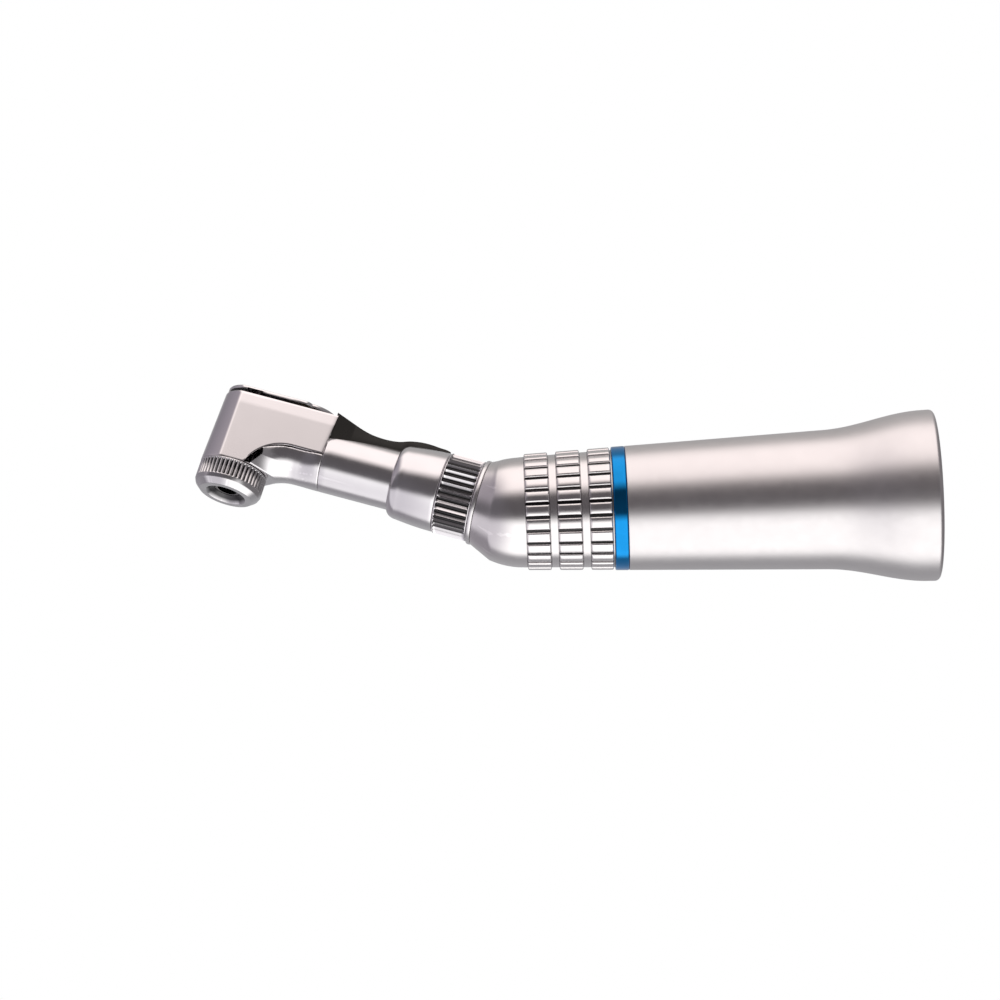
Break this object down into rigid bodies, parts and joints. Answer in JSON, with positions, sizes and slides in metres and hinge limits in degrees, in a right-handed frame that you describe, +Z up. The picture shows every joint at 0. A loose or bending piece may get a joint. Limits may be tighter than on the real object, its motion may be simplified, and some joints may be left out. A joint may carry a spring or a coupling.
{
  "type": "contra angle handpiece",
  "caption": "Satin steel dental contra angle handpiece with a latch head, bent neck, block grip, blue ratio ring and a rear socket for a motor.",
  "frame": {"origin": "centre of the rear mouth, where the motor enters, on the handle axis", "axes": "+X out of the rear mouth along the handle axis, +Z up, bend plane XZ, bur pointing down towards -Z"},
  "size_m": [0.0872, 0.0202, 0.0272],
  "materials": {
    "satin_steel": "satin blasted steel, plated",
    "polished_steel": "polished",
    "blue_ring": "blue anodised, glossy",
    "dark_steel": "black oxide",
    "gear_steel": "ground",
    "shaft_steel": "ground",
    "bearing_steel": "ground and polished",
    "bronze": "machined",
    "carrier_alloy": "turned",
    "spring_steel": "drawn wire"
  },
  "bodies": {
    "handpiece": {"rear_sheath": "satin_steel", "ratio_ring": "blue_ring", "grip_housing": "satin_steel", "neck_washer": "polished_steel", "neck_body": "satin_steel", "neck_spine": "dark_steel", "head_housing": "satin_steel", "head_shield": "polished_steel", "latch_pin": "shaft_steel", "detent_ball": "bearing_steel", "detent_spring": "spring_steel", "upper_bush": "bronze", "lower_bush": "bronze", "neck_front_bush": "bronze", "neck_bearing_outer": "bearing_steel", "neck_bearing_balls": "bearing_steel", "neck_bearing_clip": "bearing_steel", "gear_carrier": "carrier_alloy", "front_bearing_outer": "bearing_steel", "front_bearing_balls": "bearing_steel", "rear_bearing_outer": "bearing_steel", "rear_bearing_balls": "bearing_steel", "bearing_spacer": "carrier_alloy", "retaining_nut": "bronze"},
    "drive_train": {"drive_shaft": "shaft_steel", "drive_gear": "gear_steel", "dog_pin": "shaft_steel", "front_bearing_inner": "bearing_steel", "rear_bearing_inner": "bearing_steel", "dog_spring": "spring_steel"},
    "dog": {"drive_dog": "dark_steel"},
    "neck_drive": {"neck_shaft": "shaft_steel", "neck_gear": "gear_steel", "neck_pinion": "gear_steel", "neck_bearing_inner": "bearing_steel"},
    "spindle": {"chuck_spindle": "dark_steel", "head_gear": "gear_steel"},
    "latch": {"latch_lever": "polished_steel"},
    "coupling_ring": {"neck_ring": "satin_steel"},
    "cap": {"front_cap": "satin_steel"}
  },
  "joints": [
    {"name": "drive_spin", "type": "hinge", "parent": "handpiece", "child": "drive_train", "pos_m": [-0.04, 0, 0], "axis": [1, 0, 0], "continuous": true},
    {"name": "dog_slide", "type": "slide", "parent": "drive_train", "child": "dog", "axis": [-1, 0, 0], "range_m": [0, 0.0016], "stiffness_N_per_m": 400, "springref_m": -0.002, "deforming": ["dog_spring"]},
    {"name": "neck_spin", "type": "hinge", "parent": "handpiece", "child": "neck_drive", "pos_m": [-0.06362, 0, 0.00476], "axis": [-0.9483, 0, 0.3173], "continuous": true},
    {"name": "spindle_spin", "type": "hinge", "parent": "handpiece", "child": "spindle", "pos_m": [-0.08136, 0, 0.01069], "axis": [-0.3173, 0, -0.9483], "continuous": true},
    {"name": "latch_swing", "type": "hinge", "parent": "handpiece", "child": "latch", "pos_m": [-0.07318, 0, 0.01323], "axis": [-0.3173, 0, -0.9483], "range_deg": [0, 35]},
    {"name": "coupling_ring_turn", "type": "hinge", "parent": "handpiece", "child": "coupling_ring", "pos_m": [-0.05623, 0, 0.00228], "axis": [-0.9483, 0, 0.3173], "range_deg": [0, 360]},
    {"name": "cap_turn", "type": "hinge", "parent": "handpiece", "child": "cap", "pos_m": [-0.0831, 0, 0.00548], "axis": [-0.3173, 0, -0.9483], "range_deg": [0, 360]}
  ],
  "couplings": [
    {"joint": "neck_spin", "follows": "drive_spin", "ratio": -1},
    {"joint": "spindle_spin", "follows": "drive_spin", "ratio": -1}
  ]
}
